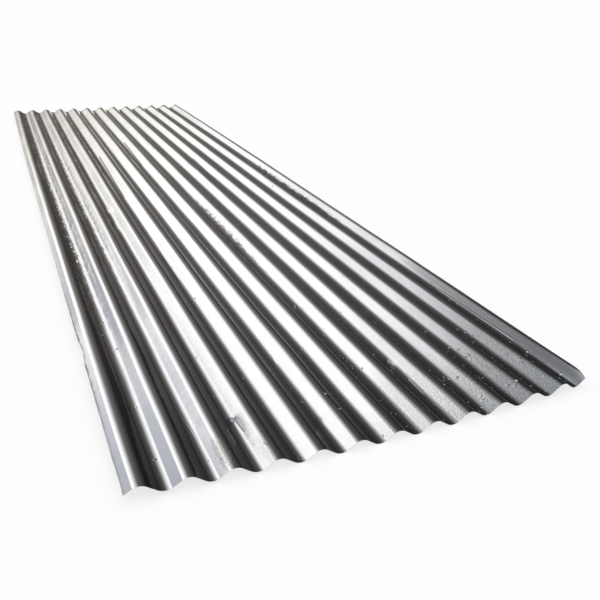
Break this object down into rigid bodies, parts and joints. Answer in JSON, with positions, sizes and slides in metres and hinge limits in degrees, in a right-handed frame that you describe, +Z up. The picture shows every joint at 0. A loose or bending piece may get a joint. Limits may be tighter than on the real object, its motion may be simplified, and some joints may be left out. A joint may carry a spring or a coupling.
{
  "type": "corrugated metal sheet",
  "caption": "Long zinc-coated steel sheet with round corrugations along its length, cut square at both ends, for roofing, cladding and fencing.",
  "frame": {"origin": "below the middle of the sheet, at the height of its lowest valleys", "axes": "+Y along the waves, +X across them, +Z up"},
  "size_m": [0.9362, 3.35, 0.0175],
  "materials": {
    "zinc_coated_steel": "satin"
  },
  "bodies": {
    "root": {"corrugated_sheet": "zinc_coated_steel"}
  },
  "joints": []
}
